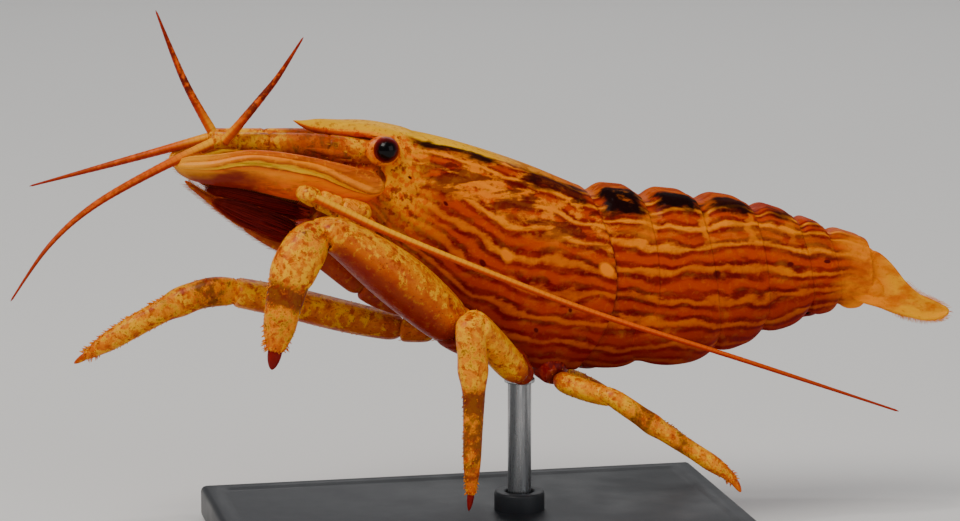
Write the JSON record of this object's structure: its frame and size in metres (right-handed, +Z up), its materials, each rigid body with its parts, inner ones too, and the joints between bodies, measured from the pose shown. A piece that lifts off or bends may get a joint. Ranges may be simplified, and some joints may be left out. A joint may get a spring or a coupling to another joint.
{
  "type": "bamboo shrimp",
  "caption": "Still life-size bamboo shrimp: striped shell, ringed abdomen, folded tail fan, thick front legs and long feelers, held in a swimming pose on a plain rod stand.",
  "frame": {"origin": "centre of the underside of the stand's base", "axes": "-Y towards the head, +X to the animal's left side, +Z up"},
  "size_m": [0.038, 0.1143, 0.0641],
  "materials": {
    "shell": "glossy chitin, red-brown with pale yellow wavy stripes",
    "limb": "satin chitin, golden with brown patches",
    "feeler": "satin, ringed, orange-brown",
    "brush": "fine bristles, dark maroon",
    "soft": "smooth soft skin, orange",
    "eye": "polished, near black maroon",
    "base": "fine satin black paint",
    "rod": "satin steel"
  },
  "bodies": {
    "root": {"abdomen_1": "shell", "abdomen_2": "shell", "abdomen_3": "shell", "abdomen_4": "shell", "abdomen_5": "shell", "abdomen_6": "shell", "antenna_base_left": "limb", "antenna_base_right": "limb", "antenna_left": "feeler", "antenna_right": "feeler", "antennule_forward_left": "feeler", "antennule_forward_right": "feeler", "antennule_left": "shell", "antennule_right": "shell", "antennule_up_left": "feeler", "antennule_up_right": "feeler", "carapace": "shell", "cheliped_1_left": "limb", "cheliped_1_right": "limb", "cheliped_2_left": "limb", "cheliped_2_right": "limb", "eye_left": "eye", "eye_right": "eye", "eyestalk_left": "soft", "eyestalk_right": "soft", "fan_1_left": "brush", "fan_1_right": "brush", "fan_2_left": "brush", "fan_2_right": "brush", "head": "soft", "leg_3_lower_left": "limb", "leg_3_lower_right": "limb", "leg_3_upper_left": "limb", "leg_3_upper_right": "limb", "leg_4_lower_left": "limb", "leg_4_lower_right": "limb", "leg_4_upper_left": "limb", "leg_4_upper_right": "limb", "leg_5_lower_left": "limb", "leg_5_lower_right": "limb", "leg_5_upper_left": "limb", "leg_5_upper_right": "limb", "maxilliped_left": "limb", "maxilliped_right": "limb", "scale_left": "shell", "scale_right": "shell", "stand_base": "base", "stand_rod": "rod", "swimmerets_1": "soft", "swimmerets_2": "soft", "swimmerets_3": "soft", "swimmerets_4": "soft", "swimmerets_5": "soft", "telson": "shell", "thorax": "soft", "uropod_inner_left": "shell", "uropod_inner_right": "shell", "uropod_outer_left": "shell", "uropod_outer_right": "shell"}
  },
  "joints": []
}
